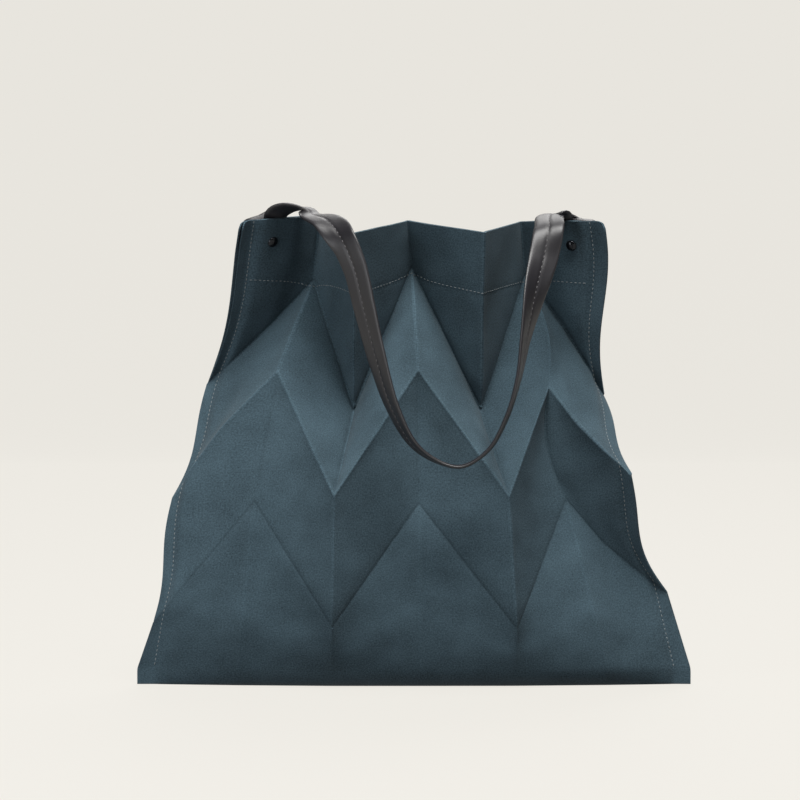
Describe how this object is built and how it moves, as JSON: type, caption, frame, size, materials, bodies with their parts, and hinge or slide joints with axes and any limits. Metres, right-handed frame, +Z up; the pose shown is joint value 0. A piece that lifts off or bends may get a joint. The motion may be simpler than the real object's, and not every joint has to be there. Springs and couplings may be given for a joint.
{
  "type": "pleated canvas tote bag",
  "caption": "Dark slate canvas tote with pressed chevron pleats, stitched hem and side seams, and looped black leather handles riveted inside the rim.",
  "frame": {"origin": "middle of the bounding box at floor level, where the bag stands on its base", "axes": "+X along the bag to its right side, +Y from its front to its back, +Z up"},
  "size_m": [0.4602, 0.1836, 0.3987],
  "materials": {
    "canvas": "matte",
    "leather": "satin",
    "rivet": "gloss"
  },
  "bodies": {
    "root": {"canvas_body": "canvas", "handle_front": "leather", "handle_back": "leather", "rivet_front_left": "rivet", "rivet_front_right": "rivet", "rivet_back_left": "rivet", "rivet_back_right": "rivet"}
  },
  "joints": []
}
